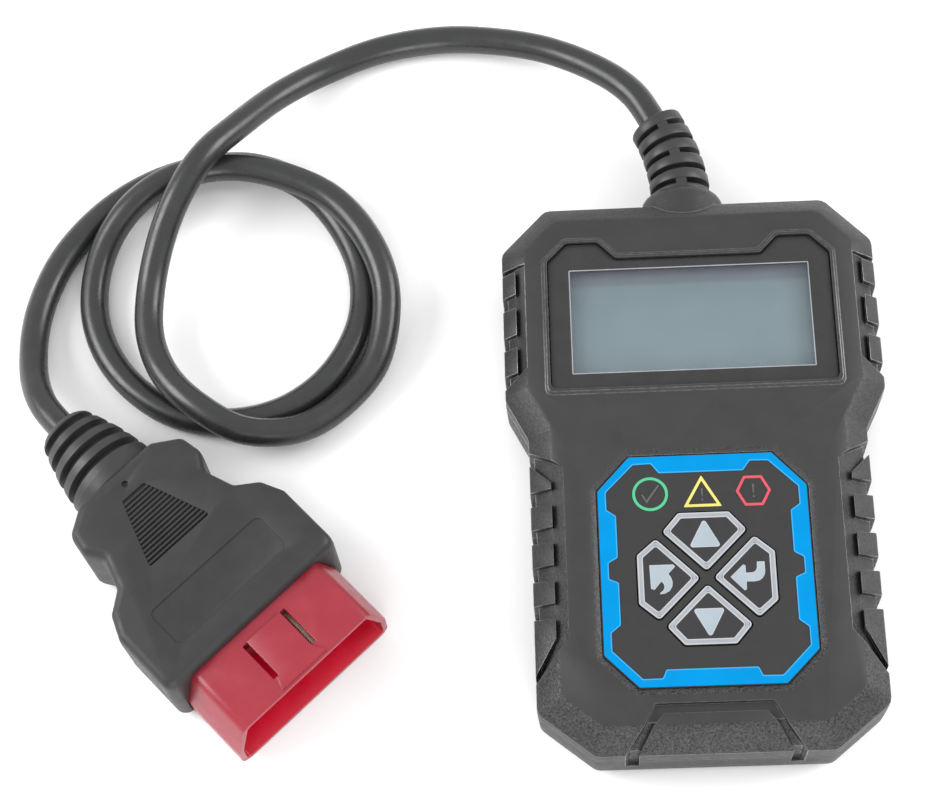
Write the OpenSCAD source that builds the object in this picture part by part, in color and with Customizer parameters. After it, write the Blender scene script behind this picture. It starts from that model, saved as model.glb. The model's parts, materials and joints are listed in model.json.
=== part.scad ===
// Handheld OBD code reader: a two-part casing with display and keypad,
// a captive cable, and a 16-pin diagnostic plug lying beside it.
// X runs across the reader, Y along it towards the cable, Z up from its back.

/* [Casing] */
// Length of the casing without the cable collar
case_length = 119.2; // [118.8:0.1:119.6]
// Width across the display end
case_width = 78.2; // [77.8:0.1:78.6]
// Width across the keypad end
grip_width = 69.2; // [68.8:0.1:69.6]
// Height of the flat top face above the table
top_z = 20; // [19.9:0.1:20.2]
// Height of the parting line between the covers
seam_z = 11.5; // [11.3:0.1:11.6]
// Height at which the top bevel starts
bevel_z = 16; // [15.8:0.1:16.2]
// Width of the top bevel
bevel_width = 5; // [4.8:0.1:5.2]
// Thickness of the casing wall
wall = 2.7; // [2.6:0.1:2.8]
// Depth of the side recesses between the grip blocks
recess_depth = 1.1; // [0.9:0.1:1.1]

/* [Display] */
// Width of the visible display
view_width = 50.1; // [49:0.1:51]
// Height of the visible display
view_height = 23.7; // [23:0.1:24]
// Centre of the display along the casing
view_y = 31.5; // [31.3:0.1:31.7]
// Thickness of the window over the display
lens_thickness = 1.2; // [1:0.1:1.2]

/* [Keypad] */
// Centre of the four keys along the casing
keypad_y = -25.1; // [-25.3:0.1:-24.9]
// How far a key travels
key_travel = 0.3; // [0.2:0.05:0.3]
// Gap around each key
key_gap = 0.25; // [0.2:0.05:0.3]
// Height of a key's face at rest
key_top_z = 19.75; // [19.65:0.05:19.8]

/* [Cable and plug] */
// Diameter of the cable
cord_d = 6.2; // [6:0.1:6.2]
// Height of the cable where it leaves the reader
exit_z = 9.8; // [9.7:0.1:9.9]
// Width of the plug's shroud along its long side
shroud_width = 40; // [39.6:0.1:40]
// Width of the plug's shroud along its short side
shroud_top_width = 33.6; // [33:0.1:34]
// Distance between neighbouring pins
pin_pitch = 4; // [3.9:0.05:4]

/* [Hidden] */
$fn = 32;
eps = 0.01;

charcoal = [0.20, 0.20, 0.20];
black = [0.07, 0.07, 0.08];
board_green = [0.05, 0.30, 0.16];
steel = [0.70, 0.71, 0.73];
shroud_red = [0.72, 0.09, 0.13];

// Half outlines run from the lower end to the upper end on the right-hand side.
half_case = [
    [23.4, -case_length / 2], [grip_width / 2, -50.6], [grip_width / 2, 7],
    [case_width / 2, 15.8], [case_width / 2, 49.6], [29.6, case_length / 2]
];
half_lens = [
    [29.4, 16.4], [29.4, 45.2], [25.4, 49.3], [18.9, 49.3], [15.2, 45.4]
];
half_overlay = [[14.4, -47.2], [21.15, -40.4], [21.15, -6.1], [14.5, 1.1]];
// One key, seen from the keypad's centre, pointing up
half_key = [[0, 1.3], [8.5, 9.8], [5.1, 13.75]];
// Bottom tab: outer edge of its groove, then the raised panel inside it
half_tab_groove = [[22.6, -68], [17.5, -59.4], [13.9, -54.9], [11.5, -50.4]];
half_tab_panel = [[20, -68], [14.9, -59.4], [12.2, -55], [10, -52.3]];

// Side grips: where each recess lies, and the blocks that stand in it
upper_recess = [[50, 45.2], [34.3, 45.2], [34.3, 21.5], [38.9, 18.3], [50, 18.3]];
lower_recess = [[50, 4], [34.6, 4], [27.8, -0.7], [27.8, -36.6], [34.4, -44.6], [50, -44.6]];
upper_block_x = 36.3;
lower_block_x = 30.2;
upper_blocks = [[39, 44.2], [29.8, 36], [21.1, 27]];
lower_block_pitch = 8;

// Display stack, from the window down to the board
lens_z = top_z - 0.4 - lens_thickness;
plate_z = top_z - 2.4;
gasket_thickness = 0.3;
panel_top_z = plate_z - gasket_thickness;
panel_bottom_z = panel_top_z - 2;
board_z = 10;
board_thickness = 1.6;
board_top_z = board_z + board_thickness;
frame_half = [28.2, 14.8];
panel_half = [27, 13.6];
window_half = [view_width / 2 + 1.15, view_height / 2 + 0.75];

// Keypad stack
overlay_top_z = top_z - 0.5;
overlay_z = overlay_top_z - 0.4;
key_flange = 0.8;
key_bottom_z = 16.6;
plunger_r = 1.7;
plunger_bore_r = 1.9;
plunger_z = 13.4;
switch_size = 6.2;
switch_top_z = 15;
switch_reach = 8.6;
icon_y = -7.1;
icon_pitch = 10.3;

// Fasteners
case_screw_places = [[-27, 52], [27, 52], [-28, -48.5], [28, -48.5]];
board_screw_places = [[-32.3, 30], [32.3, 30], [-27.5, -39.5], [27.5, -39.5]];
case_screw_r = 1.2;
case_screw_seat_z = 5;
board_screw_r = 1.1;

// Cable outlet
collar_r = 8.9;
collar_y = 60.6;
collar_end_y = 63.9;
neck_r = 4.85;
boot_flange_r = 7;
boot_inset = 1.1;
boot_bend_r = 44;
boot_bend = 26;
boot_base_r = 6.6;
boot_tip_r = 5.9;
boot_core_r = 4.5;
boot_rib_count = 6;

// Plug, in its own frame: X across, Y from its mouth towards its cable
plug_place = [-79.9, -41.2];
plug_angle = 42.9;
plug_z = 11;
shroud_bottom_z = 1.5;
shroud_top_z = 19.5;
shroud_wall = 1.3;
shroud_depth = 18;
shroud_front = -0.6;
body_front = 14.7;
half_plug = [
    [22.4, 14.7], [22.4, 30.4], [20.2, 35.4], [15.8, 38.7],
    [13.7, 45.2], [16, 49], [15.2, 54], [9.6, 57.8]
];
plug_height = 22;
plug_boot_start = 57.8;
plug_boot_end = 76.6;
core_front = 14.5;
core_back = 30;
pin_row_half = 4;
pins_per_row = 8;

// Route of the cable's centre line, from the reader's boot to the plug's boot
cord_route = [
    [-4.5, 82.1, 9.8], [-9.2, 91, 9.4], [-16.6, 98.2, 8.2], [-28, 105.3, 5.9],
    [-40.5, 109.3, 4.2], [-53, 110.7, 3.25], [-66.1, 108.7, 3.25], [-78.4, 103.3, 4.2],
    [-88.4, 95.3, 8], [-96.5, 85.4, 13], [-103, 77, 16.2], [-108.3, 69, 15.2],
    [-112.8, 60, 11.5], [-115.6, 49, 8], [-115.6, 38, 7.4], [-111.8, 28, 8.8],
    [-104.5, 20, 9.8], [-94.5, 14.4, 8.8], [-83.1, 15.6, 5.8], [-73.8, 22, 4.3],
    [-66.6, 31.3, 5.4], [-64.4, 45.2, 7.5], [-67.8, 57.1, 9.1], [-75.7, 67.7, 9.5],
    [-86.8, 74, 9.7], [-99, 76.8, 9.7], [-111, 74.8, 9.7], [-120.5, 69, 8],
    [-127, 60, 4.8], [-129, 47.9, 3.25], [-126, 36.5, 3.1], [-119, 27, 3.1],
    [-109, 20.5, 3.1], [-97, 18.6, 3.1], [-85.5, 21.6, 3.1], [-76.2, 29.2, 3.1],
    [-70.5, 40.5, 3.1], [-70.2, 52.9, 3.1], [-75.1, 65, 3.1], [-83.4, 74.8, 3.1],
    [-94.8, 80.2, 3.1], [-107, 79.9, 3.1], [-118.5, 76, 3.1], [-128.5, 68.8, 3.1],
    [-136.5, 58.5, 3.1], [-141, 45.9, 3.25], [-141.3, 33, 4.7], [-138, 22.7, 8.4],
    [-131.9, 14.7, 11]
];
cord_sides = 10;

// ---- Outlines ----

function unit(v) = v / norm(v);
function cross2(a, b) = a[0] * b[1] - a[1] * b[0];
function turned(v, a) = [v[0] * cos(a) - v[1] * sin(a), v[0] * sin(a) + v[1] * cos(a)];
function meet(p, u, q, v) = p + u * (cross2(q - p, v) / cross2(u, v));

// A whole outline from its right-hand half
function mirrored(half) =
    concat(half, [for (i = [len(half) - 1:-1:0]) if (half[i][0] > 0) [-half[i][0], half[i][1]]]);

// An outline moved inwards by d along every edge
function inset(poly, d) =
    let (n = len(poly))
    [for (i = [0:n - 1])
        let (
            a = poly[(i - 1 + n) % n], b = poly[i], c = poly[(i + 1) % n],
            u = unit(b - a), v = unit(c - b)
        )
        meet(b + turned(u, 90) * d, u, b + turned(v, 90) * d, v)];

// An outline with every corner rounded to radius r
function rounded(poly, r, steps = 2) =
    let (n = len(poly))
    [for (i = [0:n - 1])
        let (
            a = poly[(i - 1 + n) % n], b = poly[i], c = poly[(i + 1) % n],
            u = unit(b - a), v = unit(c - b),
            side = cross2(u, v) > 0 ? 1 : -1,
            turn = acos(u * v),
            start = b - u * r * tan(turn / 2),
            centre = start + turned(u, 90 * side) * r
        )
        for (k = [0:steps]) centre + turned(start - centre, side * turn * k / steps)];

// A closed skin through rings of [outline, height] that have equal numbers of points
module loft(rings) {
    n = len(rings[0][0]);
    top = len(rings) - 1;
    polyhedron(
        points = [for (ring = rings) for (p = ring[0]) [p[0], p[1], ring[1]]],
        faces = concat(
            [[for (i = [0:n - 1]) i]],
            [[for (i = [n - 1:-1:0]) top * n + i]],
            [for (k = [0:top - 1]) for (i = [0:n - 1])
                [k * n + i, (k + 1) * n + i, (k + 1) * n + (i + 1) % n]],
            [for (k = [0:top - 1]) for (i = [0:n - 1])
                [k * n + i, (k + 1) * n + (i + 1) % n, k * n + (i + 1) % n]]
        )
    );
}

// A skin from one outline: each level is [inset, height]
module loft_levels(poly, r, levels) {
    loft([for (level = levels) [rounded(inset(poly, level[0]), r), level[1]]]);
}

module slab(poly, z0, z1) {
    translate([0, 0, z0]) linear_extrude(z1 - z0) polygon(poly);
}

module block(low, high) {
    translate(low) cube(high - low);
}

module at_places(places) {
    for (p = places) translate([p[0], p[1], 0]) children();
}

module rod(r, z0, z1) {
    translate([0, 0, z0]) cylinder(r = r, h = z1 - z0);
}

case_outline = mirrored(half_case);
lens_outline = mirrored(half_lens);
overlay_outline = mirrored(half_overlay);
// The key's outline starts at its inner point, which lies on the keypad's axis
key_outline = [
    half_key[0], half_key[1], half_key[2],
    [-half_key[2][0], half_key[2][1]], [-half_key[1][0], half_key[1][1]]
];

// ---- Casing ----

// Everything that the side recesses and the bottom tab's groove may sink into
module sunk_core() {
    loft_levels(case_outline, 2, [
        [recess_depth, 5.5], [recess_depth, bevel_z - 1.1],
        [4.4, top_z - 1.6], [7.5, top_z + 0.3]
    ]);
}

module block_plans() {
    for (b = upper_blocks)
        polygon([[upper_block_x, b[0]], [51, b[0]], [51, b[1]], [upper_block_x, b[1]]]);
    for (k = [0:2])
        translate([0, -k * lower_block_pitch])
            polygon([[lower_block_x, -13.3], [34.6, -12.8], [51, -12.8],
                [51, -7.7], [34.6, -7.7], [lower_block_x, -8.5]]);
    polygon([[lower_block_x, -5.2], [34.6, -4.7], [51, -4.7], [51, 1.3], [34.6, 1.3],
        [lower_block_x, -3.8]]);
    polygon([[lower_block_x, -36.3], [34.6, -43.2], [51, -43.2], [51, -31.6], [34.6, -31.6],
        [lower_block_x, -32.5]]);
}

module side_recesses() {
    difference() {
        for (side = [0, 1]) mirror([side, 0, 0])
            translate([0, 0, 7]) linear_extrude(top_z - 6) difference() {
                union() {
                    polygon(upper_recess);
                    polygon(lower_recess);
                }
                block_plans();
            }
        sunk_core();
    }
}

module tab_groove() {
    difference() {
        slab(mirrored(half_tab_groove), 7, top_z + 1);
        slab(mirrored(half_tab_panel), 6, top_z + 2);
        difference() {
            loft_levels(case_outline, 2, [
                [1.2, 5], [1.2, bevel_z - 0.8], [bevel_width + 0.6, top_z - 1.1],
                [bevel_width + 2.8, top_z + 0.6]
            ]);
            above_plane(top_z - 1);
        }
    }
}

// The domed collar that holds the cable boot, along Y at the outlet
module collar() {
    translate([0, 0, exit_z]) rotate([-90, 0, 0]) rotate_extrude($fn = 64) polygon(concat(
        [[0, 53.6], [collar_r, 53.6]],
        [for (a = [0:15:90]) [6.3 + (collar_r - 6.3) * cos(a),
            collar_y + (collar_end_y - collar_y) * sin(a)]],
        [[0, collar_end_y]]
    ));
}

module outlet_bore() {
    translate([0, 52, exit_z]) rotate([-90, 0, 0]) cylinder(r = neck_r + 0.1, h = 20);
}

module above_plane(z) {
    block([-60, -90, z], [60, 90, 40]);
}

module below_plane(z) {
    block([-60, -90, -20], [60, 90, z]);
}

module key_windows() {
    at_keys() slab(rounded(inset(key_outline, -key_gap), 0.9), 15, 22);
}

module at_keys() {
    for (a = [0:90:270]) at_key(a) children();
}

module at_key(a) {
    translate([0, keypad_y, 0]) rotate([0, 0, a]) children();
}

module front_form() {
    difference() {
        union() {
            loft_levels(case_outline, 2.5, [
                [0.5, seam_z - 0.25], [0, seam_z + 0.25], [0, bevel_z - 0.4], [0.35, bevel_z + 0.15],
                [bevel_width - 0.8, top_z - 0.45], [bevel_width + 0.8, top_z + 0.45]
            ]);
            collar();
        }
        above_plane(top_z);
        below_plane(seam_z);
    }
}

// Raised rim around the window
module rim() {
    difference() {
        loft([
            [rounded(inset(lens_outline, -1.85), 1.2), top_z - 0.5],
            [rounded(inset(lens_outline, -0.2), 1.2), top_z + 1]
        ]);
        above_plane(top_z + 0.5);
    }
}

module front_cavity() {
    difference() {
        loft_levels(case_outline, 1, [
            [wall, seam_z - 2], [wall, bevel_z - 1.4], [bevel_width + 1.8, plate_z + 1]
        ]);
        above_plane(plate_z);
    }
    // Rebate that the back cover's tongue fits
    slab(inset(case_outline, wall - 1.1), seam_z - 1.3, seam_z + 1.3);
}

module front_bosses() {
    at_places(case_screw_places) difference() {
        rod(3, board_top_z + 0.2, plate_z + 0.4);
        rod(case_screw_r + 0.05, board_top_z, plate_z - 0.6);
    }
    at_places(board_screw_places) difference() {
        rod(2.4, board_top_z, plate_z + 0.4);
        rod(board_screw_r + 0.05, board_top_z - 1, plate_z - 1.4);
    }
}

module front_cover() {
    color(charcoal) {
        difference() {
            union() {
                front_form();
                rim();
            }
            front_cavity();
            side_recesses();
            tab_groove();
            // Sloping edge and floor of the keypad recess
            loft([
                [rounded(inset(overlay_outline, -0.12), 0.6), overlay_z],
                [rounded(inset(overlay_outline, -0.2), 0.6), overlay_top_z - 0.1],
                [rounded(inset(overlay_outline, -2.76), 1.2), top_z + 0.6]
            ]);
            slab(rounded(inset(lens_outline, -0.15), 1.3), lens_z, top_z + 2);
            block([-window_half[0], view_y - window_half[1], 12],
                [window_half[0], view_y + window_half[1], top_z]);
            key_windows();
            for (k = [-1:1]) translate([k * icon_pitch, icon_y, 0]) rod(2.1, 14, top_z);
            outlet_bore();
        }
        front_bosses();
    }
}

module back_form() {
    difference() {
        union() {
            loft_levels(case_outline, 2.5, [
                [4.8, -0.6], [2, 0.5], [0.7, 1.9], [0.2, 3.6], [0, seam_z - 0.25],
                [0.5, seam_z + 0.25]
            ]);
            collar();
        }
        above_plane(seam_z);
        below_plane(0);
        difference() {
            loft_levels(case_outline, 1, [
                [4.9, 1], [3.4, 3.6], [wall, 6.4], [wall, seam_z + 1]
            ]);
            below_plane(2);
        }
        side_recesses();
        tab_groove();
        block([-22.2, -46.2, -1], [22.2, -5.8, 0.4]);
    }
}

// Tongue that fits the front cover's rebate
module tongue() {
    difference() {
        slab(inset(case_outline, wall - 0.95), seam_z - 1.2, seam_z + 1.1);
        slab(inset(case_outline, wall + 0.2), seam_z - 2.2, seam_z + 2);
        block([-11, 40, seam_z - 3], [11, 80, seam_z + 5]);
    }
}

module back_cover() {
    color(charcoal) difference() {
        union() {
            back_form();
            tongue();
            at_places(case_screw_places) rod(3.6, 1, board_top_z - 0.1);
        }
        at_places(case_screw_places) {
            rod(2.6, -1, case_screw_seat_z);
            rod(case_screw_r + 0.25, 0, 14);
        }
        outlet_bore();
    }
}

module rear_label() {
    color([0.75, 0.76, 0.77])
        slab(rounded([[-22, -46], [22, -46], [22, -6], [-22, -6]], 1.5), 0.2, 0.4);
}

module screw(r, head_r, head_z, shank_end) {
    head_h = 1.5;
    difference() {
        rod(head_r, head_z - head_h, head_z);
        for (a = [0, 90]) rotate([0, 0, a])
            translate([-0.3, -head_r * 0.65, head_z - head_h - eps]) cube([0.6, head_r * 1.3, 0.7]);
    }
    rod(r, head_z - eps, shank_end);
}

module case_screws() {
    color(steel) at_places(case_screw_places) screw(case_screw_r, 2.2, case_screw_seat_z, 16);
}

module board_screws() {
    color(steel) at_places(board_screw_places) screw(board_screw_r, 1.9, board_z, 15.4);
}

// ---- Display ----

module view_plate(half, z0, z1) {
    block([-half[0], view_y - half[1], z0], [half[0], view_y + half[1], z1]);
}

module display_lens() {
    color([0.1, 0.1, 0.11, 0.6]) slab(rounded(lens_outline, 1.3), lens_z, lens_z + lens_thickness);
}

module display_gasket() {
    color(black) difference() {
        view_plate(frame_half, panel_top_z, plate_z);
        view_plate([26, 12.4], panel_top_z - 1, plate_z + 1);
    }
}

module display_panel() {
    color([0.54, 0.63, 0.67]) view_plate(panel_half, panel_bottom_z, panel_top_z);
}

module display_backlight() {
    color([0.92, 0.93, 0.95]) difference() {
        view_plate([26.6, 13.2], board_top_z, panel_bottom_z);
        // The board's two backlight lamps sit in these slots
        for (x = [-13, 13]) block([x - 3, view_y - 13.3, board_top_z - 1],
            [x + 3, view_y - 11.4, board_top_z + 1.4]);
    }
}

module display_frame() {
    color(black) difference() {
        view_plate(frame_half, board_top_z, panel_top_z);
        view_plate(panel_half + [0.15, 0.15], board_top_z - 1, panel_top_z + 1);
        block([-12.6, view_y - 16, 13.2], [12.6, view_y - 13, panel_bottom_z + 0.4]);
    }
}

module display_ribbon() {
    low_y = view_y - 13.75;
    color([0.75, 0.42, 0.12]) translate([-12, 0, 0]) rotate([90, 0, 90]) linear_extrude(24)
        polygon([[low_y, 15.2], [low_y - 2, 15.2], [low_y - 3.4, 14.4], [low_y - 4, 11.7],
            [low_y - 5.4, 11.7], [low_y - 5.4, 11.95], [low_y - 4.2, 11.95],
            [low_y - 3.6, 14.6], [low_y - 2.1, 15.5], [low_y, 15.5]]);
}

// ---- Keypad ----

module keypad_overlay() {
    color(black) difference() {
        slab(rounded(overlay_outline, 0.6), overlay_z, overlay_top_z);
        key_windows();
    }
}

module key_cap(a) {
    at_key(a) {
        loft([
            [rounded(inset(key_outline, 0), 0.8), key_bottom_z + 0.5],
            [rounded(inset(key_outline, 0), 0.8), key_top_z - 0.15],
            [rounded(inset(key_outline, 0.15), 0.8), key_top_z]
        ]);
        slab(rounded(inset(key_outline, -key_flange), 1.2), key_bottom_z, plate_z - 0.1);
    }
}

module key_up() {
    color(black) key_cap(0);
}

module key_back() {
    color(black) key_cap(90);
}

module key_down() {
    color(black) key_cap(180);
}

module key_enter() {
    color(black) key_cap(270);
}

module plunger(a) {
    at_key(a) translate([0, switch_reach, 0]) rod(plunger_r, plunger_z, key_bottom_z);
}

module plunger_up() {
    color([0.85, 0.83, 0.78]) plunger(0);
}

module plunger_back() {
    color([0.85, 0.83, 0.78]) plunger(90);
}

module plunger_down() {
    color([0.85, 0.83, 0.78]) plunger(180);
}

module plunger_enter() {
    color([0.85, 0.83, 0.78]) plunger(270);
}

module key_switches() {
    half = switch_size / 2;
    color([0.13, 0.13, 0.14]) for (a = [0:90:270]) at_key(a) translate([0, switch_reach, 0])
        difference() {
            block([-half, -half, board_top_z], [half, half, switch_top_z]);
            rod(plunger_bore_r, plunger_z - key_travel - 0.2, switch_top_z + 1);
        }
}

// ---- Board ----

module main_board() {
    color(board_green) difference() {
        intersection() {
            slab(rounded(inset(case_outline, 4.5), 2), board_z, board_top_z);
            block([-40, -52, 0], [40, 48.6, 20]);
        }
        at_places(case_screw_places) rod(4.1, board_z - 1, board_top_z + 1);
        at_places(board_screw_places) rod(board_screw_r + 0.2, board_z - 1, board_top_z + 1);
    }
}

// A flat chip under the board with legs along two or four sides
module chip(size, height, legs, sides) {
    block([-size[0] / 2, -size[1] / 2, board_z - height], [size[0] / 2, size[1] / 2, board_z - 0.15]);
    for (side = [0:sides - 1]) rotate([0, 0, side * 360 / sides]) for (k = [0:legs - 1]) {
        reach = (sides == 4 ? size[0] : size[1]) / 2;
        span = (legs - 1) * (sides == 4 ? 0.9 : 1.27);
        x = -span / 2 + k * span / max(1, legs - 1);
        block([x - 0.2, reach - 0.3, board_z - 0.9], [x + 0.2, reach + 0.7, board_z - 0.7]);
        block([x - 0.2, reach + 0.5, board_z - 0.9], [x + 0.2, reach + 1.3, board_z]);
    }
}

module processor_chip() {
    color(black) translate([2, -4, 0]) chip([14, 14], 1.6, 12, 4);
}

module transceiver_chips() {
    color(black) {
        translate([-18, 24, 0]) chip([9.9, 3.9], 1.5, 7, 2);
        translate([18, 24, 0]) chip([4.9, 3.9], 1.5, 4, 2);
        translate([-19, 2, 0]) chip([4.9, 3.9], 1.5, 4, 2);
    }
}

module crystal() {
    color(steel) translate([18, -4, 0]) {
        for (x = [-3.2, 3.2]) translate([x, 0, 0]) rod(2.2, board_z - 3.4, board_z);
        block([-3.2, -2.2, board_z - 3.4], [3.2, 2.2, board_z]);
    }
}

module capacitors() {
    color([0.55, 0.57, 0.60]) for (p = [[-8, 28], [4, 28], [-20, -14]]) translate([p[0], p[1], 0]) {
        rod(3.15, board_z - 5.6, board_z - 0.6);
        block([-3.3, -3.3, board_z - 0.8], [3.3, 3.3, board_z]);
    }
}

module resistors() {
    color([0.08, 0.08, 0.09]) for (row = [0:2]) for (k = [0:4])
        translate([-24 + k * 4, -24 - row * 3, 0])
            block([-1, -0.6, board_z - 0.5], [1, 0.6, board_z]);
}

module buzzer() {
    color(black) translate([16, -36, 0]) difference() {
        rod(6, board_z - 5.5, board_z);
        rod(0.9, board_z - 6, board_z - 4);
    }
}

module light_guides() {
    color([0.9, 0.92, 0.95]) {
        for (k = [-1:1]) translate([k * icon_pitch, icon_y, 0]) rod(1.85, 12.9, overlay_z - 0.05);
        block([-13, icon_y - 1.8, 16.4], [13, icon_y + 1.8, plate_z - 0.1]);
    }
}

module led(k) {
    translate([k * icon_pitch, icon_y, 0]) {
        block([-1.6, -0.8, board_top_z], [1.6, 0.8, board_top_z + 0.5]);
        rod(0.7, board_top_z + 0.4, board_top_z + 1.1);
    }
}

module led_green() {
    color([0.2, 0.8, 0.35]) led(-1);
}

module led_yellow() {
    color([0.9, 0.8, 0.1]) led(0);
}

module led_red() {
    color([0.85, 0.15, 0.15]) led(1);
}

// ---- Cable inside the reader ----

wire_count = 4;
wire_pitch = 2.2;

module cable_header() {
    color([0.93, 0.92, 0.88]) difference() {
        block([-6.5, 37, board_z - 5], [6.5, 42.6, board_z]);
        block([-5.6, 38.4, board_z - 4.2], [5.6, 43, board_z - 1]);
    }
}

module header_plug() {
    color([0.93, 0.92, 0.88]) block([-5.5, 38.5, board_z - 4.1], [5.5, 45, board_z - 1.1]);
}

module harness_wires() {
    wire_z = board_z - 2.6;
    for (k = [0:wire_count - 1]) {
        x = (k - (wire_count - 1) / 2) * wire_pitch;
        color([[0.8, 0.1, 0.1], [0.1, 0.1, 0.1], [0.9, 0.8, 0.1], [0.1, 0.5, 0.2]][k])
            translate([x, 45, wire_z]) rotate([-90, 0, 0]) cylinder(r = 0.7, h = 5.4, $fn = 16);
    }
}

// ---- Boot at the reader ----

function boot_centre(a) = [-boot_bend_r * (1 - cos(a)), collar_end_y - boot_inset + boot_bend_r * sin(a)];

// Puts something on the boot's bent centre line, along Y at the turn a
module on_boot(a) {
    c = boot_centre(a);
    translate([c[0], c[1], exit_z]) rotate([0, 0, a]) rotate([-90, 0, 0]) children();
}

module cable_boot() {
    step = boot_bend / (boot_rib_count * 2 - 1);
    length = boot_bend_r * step * PI / 180;
    color(charcoal) {
        translate([0, 50.4, exit_z]) rotate([-90, 0, 0]) cylinder(r = boot_flange_r, h = 3.1);
        translate([0, 53.4, exit_z]) rotate([-90, 0, 0]) cylinder(r = neck_r, h = 10.9);
        for (k = [0:boot_rib_count * 2 - 2]) {
            r = boot_base_r + (boot_tip_r - boot_base_r) * k / (boot_rib_count * 2 - 2);
            on_boot((k + 0.5) * step) {
                // The first rib starts at the collar's face
                lap = k > 0 ? 0.3 : -boot_inset - 0.15;
                translate([0, 0, -length / 2 - lap])
                    cylinder(r = k % 2 == 0 ? r : boot_core_r, h = length + 0.3 + lap);
                // Webs that bridge the slots, above and below or at the sides
                if (k % 2 == 1) rotate([0, 0, (k - 1) / 2 % 2 == 0 ? 90 : 0])
                    translate([-r + 0.35, -1.2, -length / 2 - 0.2])
                        cube([2 * r - 0.7, 2.4, length + 0.4]);
            }
        }
    }
}

// ---- Cable ----

function cord_direction(i) = unit(
    cord_route[min(i + 1, len(cord_route) - 1)] - cord_route[max(i - 1, 0)]);
function cord_side(i) = unit(cross(cord_direction(i), [0, 0, 1]));

module cord() {
    n = cord_sides;
    last = len(cord_route) - 1;
    color(charcoal) polyhedron(
        points = [for (i = [0:last]) for (k = [0:n - 1])
            let (s = cord_side(i), u = cross(s, cord_direction(i)), a = k * 360 / n)
            cord_route[i] + (s * cos(a) + u * sin(a)) * cord_d / 2],
        faces = concat(
            [[for (k = [0:n - 1]) k]],
            [[for (k = [n - 1:-1:0]) last * n + k]],
            [for (i = [0:last - 1]) for (k = [0:n - 1])
                [i * n + k, (i + 1) * n + k, (i + 1) * n + (k + 1) % n]],
            [for (i = [0:last - 1]) for (k = [0:n - 1])
                [i * n + k, (i + 1) * n + (k + 1) % n, i * n + (k + 1) % n]]
        )
    );
}

// ---- Plug ----

module at_plug() {
    translate([plug_place[0], plug_place[1], 0]) rotate([0, 0, plug_angle]) children();
}

// Something turned about the plug's long axis, with its profile along Y
module along_plug() {
    translate([0, 0, plug_z]) rotate([-90, 0, 0]) children();
}

// The shroud's section, wide side down, moved inwards by d
function shroud_outline(d) = rounded(inset([
    [-shroud_width / 2, shroud_bottom_z], [shroud_width / 2, shroud_bottom_z],
    [shroud_width / 2, shroud_bottom_z + 7.5], [shroud_top_width / 2, shroud_top_z],
    [-shroud_top_width / 2, shroud_top_z], [-shroud_width / 2, shroud_bottom_z + 7.5]
], d), max(2.2 - d, 0.9), 4);

// Extrudes a section drawn across the plug from y0 to y1
module across_section(y0, y1) {
    translate([0, y1, 0]) rotate([90, 0, 0]) linear_extrude(y1 - y0) children();
}

module plug_boot() {
    groove_places = [62.9, 66.8, 70.7, 74.4];
    color(charcoal) at_plug() along_plug() difference() {
        rotate_extrude($fn = 64) polygon([
            [0, plug_boot_start], [9.9, plug_boot_start], [10, 60.2], [9.8, 62.2], [9.4, 64.6],
            [8.7, 68.2], [7.7, 71.6], [6.8, 74.6], [6.2, 76], [5.6, plug_boot_end],
            [0, plug_boot_end]
        ]);
        for (y = groove_places) rotate_extrude($fn = 64)
            translate([plug_boot_groove_r(y), y - 0.7]) square([6, 1.4]);
    }
}

function plug_boot_groove_r(y) = 8.1 - (y - 62.9) * 0.25;

module plug_body() {
    patch_rows = 15;
    patch_y0 = 37;
    patch_y1 = 51.5;
    top = plug_height;
    color(charcoal) at_plug() difference() {
        union() {
            difference() {
                loft_levels(mirrored(half_plug), 2.2, [
                    [3.47, -0.6], [0.8, 0.9], [0, 3], [0, top - 4.6], [0.2, top - 1.7],
                    [0.8, top - 0.6], [2.6, top + 0.5]
                ]);
                block([-30, 0, top], [30, 70, top + 4]);
                block([-30, 0, -4], [30, 70, 0]);
                // Grip patch, label recess and mould mark in the top face
                slab([[-8, patch_y0], [8, patch_y0], [2.9, patch_y1], [-2.9, patch_y1]],
                    top - 0.6, top + 1);
                slab(rounded([[-14.6, 20.4], [14.6, 20.4], [14.6, 29.8], [-14.6, 29.8]], 1.5),
                    top - 0.3, top + 1);
                translate([0, 54, 0]) rod(0.7, top - 0.8, top + 1);
            }
            for (k = [0:patch_rows - 1]) {
                y = patch_y0 + 0.4 + k * (patch_y1 - patch_y0 - 0.6) / patch_rows;
                half = 8 - (y - patch_y0) * 0.35;
                block([-half, y, top - 1], [half, y + 0.55, top - 0.1]);
            }
        }
        across_section(body_front - 1, shroud_depth + 0.2) polygon(shroud_outline(-0.1));
        across_section(shroud_depth, core_back + 0.2) polygon(shroud_outline(2));
        across_section(core_back, 35) translate([-16, plug_z - 6]) square([32, 12]);
        along_plug() cylinder(r = 3.3, h = 70);
    }
}

module plug_shroud() {
    color(shroud_red) at_plug() {
        difference() {
            across_section(shroud_front, shroud_depth) polygon(shroud_outline(0));
            across_section(shroud_front - 1, shroud_depth + 1)
                polygon(shroud_outline(shroud_wall));
            for (side = [-1, 1])
                block([side * 5 - 0.6, 3, 15], [side * 5 + 0.6, 12.4, shroud_top_z + 2]);
        }
        // Raised key between the slots, wider at the mouth
        slab([[-4.4, 12.4], [-4.4, 3], [-5.9, 0], [5.9, 0], [4.4, 3], [4.4, 12.4]],
            shroud_top_z - 0.4, shroud_top_z + 0.45);
    }
}

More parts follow.
